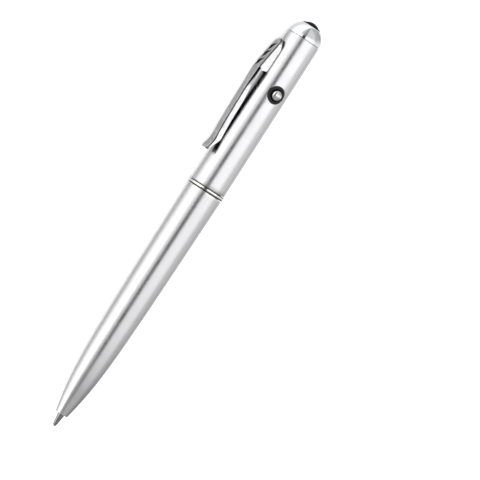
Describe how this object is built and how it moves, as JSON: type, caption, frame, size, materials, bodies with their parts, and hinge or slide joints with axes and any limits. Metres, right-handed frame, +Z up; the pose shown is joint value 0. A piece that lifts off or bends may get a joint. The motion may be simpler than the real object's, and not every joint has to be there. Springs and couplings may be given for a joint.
{
  "type": "counterfeit detector pen",
  "caption": "Slim twist-action ballpoint pen with an ultraviolet lamp behind a dark window in its domed end, a side push button and a sprung pocket clip.",
  "frame": {"origin": "on the table under the middle of the pen's box, with the pen lying on its centre ring and clip", "axes": "+X along the pen towards the writing tip, -Y the side that the clip and the button are on, +Z up from the table"},
  "size_m": [0.141, 0.014, 0.0119],
  "materials": {
    "satin_aluminium": "fine satin silver, brushed round the barrel",
    "chrome_plate": "bright mirror chrome plating",
    "brass": "turned, bare",
    "spring_steel": "drawn wire and thin tube, bright",
    "nickel_cell": "nickel-plated cell can, satin",
    "carbide": "polished writing ball",
    "black_plastic": "moulded, fine matt",
    "white_plastic": "moulded acetal, slightly waxy",
    "rubber": "moulded O-ring, matt",
    "dark_window": "very dark violet, polished",
    "clear_epoxy": "water-clear with a violet tint",
    "board": "glass-epoxy board, green mask",
    "component": "ceramic chip, matt",
    "ink": "paste ink"
  },
  "bodies": {
    "upper": {"upper_barrel": "satin_aluminium", "light_bezel": "chrome_plate", "filter_window": "dark_window", "uv_led": "clear_epoxy", "led_lead_anode": "spring_steel", "led_lead_cathode": "spring_steel", "led_holder": "black_plastic", "circuit_board": "board", "resistor": "component", "switch_base": "black_plastic", "button_collar": "black_plastic", "battery_cell_1": "nickel_cell", "battery_cell_2": "nickel_cell", "battery_cell_3": "nickel_cell", "battery_sleeve": "black_plastic", "battery_spring": "spring_steel", "battery_contact": "brass", "battery_seat": "brass", "cam_sleeve": "white_plastic", "clip_bracket": "chrome_plate"},
    "mechanism": {"mechanism_body": "brass", "friction_ring": "rubber", "refill_spring": "spring_steel"},
    "refill": {"refill_tube": "spring_steel", "refill_tip": "brass", "ink_column": "ink", "refill_pusher": "white_plastic"},
    "ball": {"writing_ball": "carbide"},
    "ring": {"centre_ring": "chrome_plate"},
    "lower": {"lower_barrel": "satin_aluminium", "thread_insert": "brass"},
    "clip_arm": {"clip_arm": "chrome_plate"},
    "button": {"push_button": "chrome_plate"},
    "plunger": {"switch_plunger": "white_plastic"}
  },
  "joints": [
    {"name": "twist", "type": "hinge", "parent": "upper", "child": "mechanism", "pos_m": [-0.013, 0.00125, 0.00579], "axis": [1, 0, 0], "range_deg": [0, 150]},
    {"name": "refill_slide", "type": "slide", "parent": "mechanism", "child": "refill", "axis": [-1, 0, 0], "range_m": [0, 0.0052], "deforming": ["refill_spring"]},
    {"name": "ball_roll", "type": "hinge", "parent": "refill", "child": "ball", "pos_m": [0.07, 0.00125, 0.00579], "axis": [0, 1, 0], "continuous": true},
    {"name": "ring_travel", "type": "slide", "parent": "mechanism", "child": "ring", "axis": [1, 0, 0], "range_m": [0, 0.009]},
    {"name": "barrel_unscrew", "type": "hinge", "parent": "ring", "child": "lower", "pos_m": [-0.0115, 0.00125, 0.00579], "axis": [1, 0, 0], "range_deg": [0, 4320]},
    {"name": "clip_flex", "type": "hinge", "parent": "upper", "child": "clip_arm", "pos_m": [-0.0509, -0.00602, 0.00188], "axis": [0, 0.4741, -0.8805], "range_deg": [0, 7], "stiffness_Nm_per_rad": 1},
    {"name": "button_press", "type": "slide", "parent": "upper", "child": "button", "axis": [0, 0.4741, -0.8805], "range_m": [0, 0.0005], "stiffness_N_per_m": 1200},
    {"name": "plunger_press", "type": "slide", "parent": "upper", "child": "plunger", "axis": [0, 0.4741, -0.8805], "range_m": [0, 0.0005]}
  ],
  "couplings": [
    {"joint": "twist", "follows": "refill_slide", "rad_per_m": 503.46},
    {"joint": "barrel_unscrew", "follows": "ring_travel", "rad_per_m": 8377.6},
    {"joint": "plunger_press", "follows": "button_press", "ratio": 1}
  ]
}
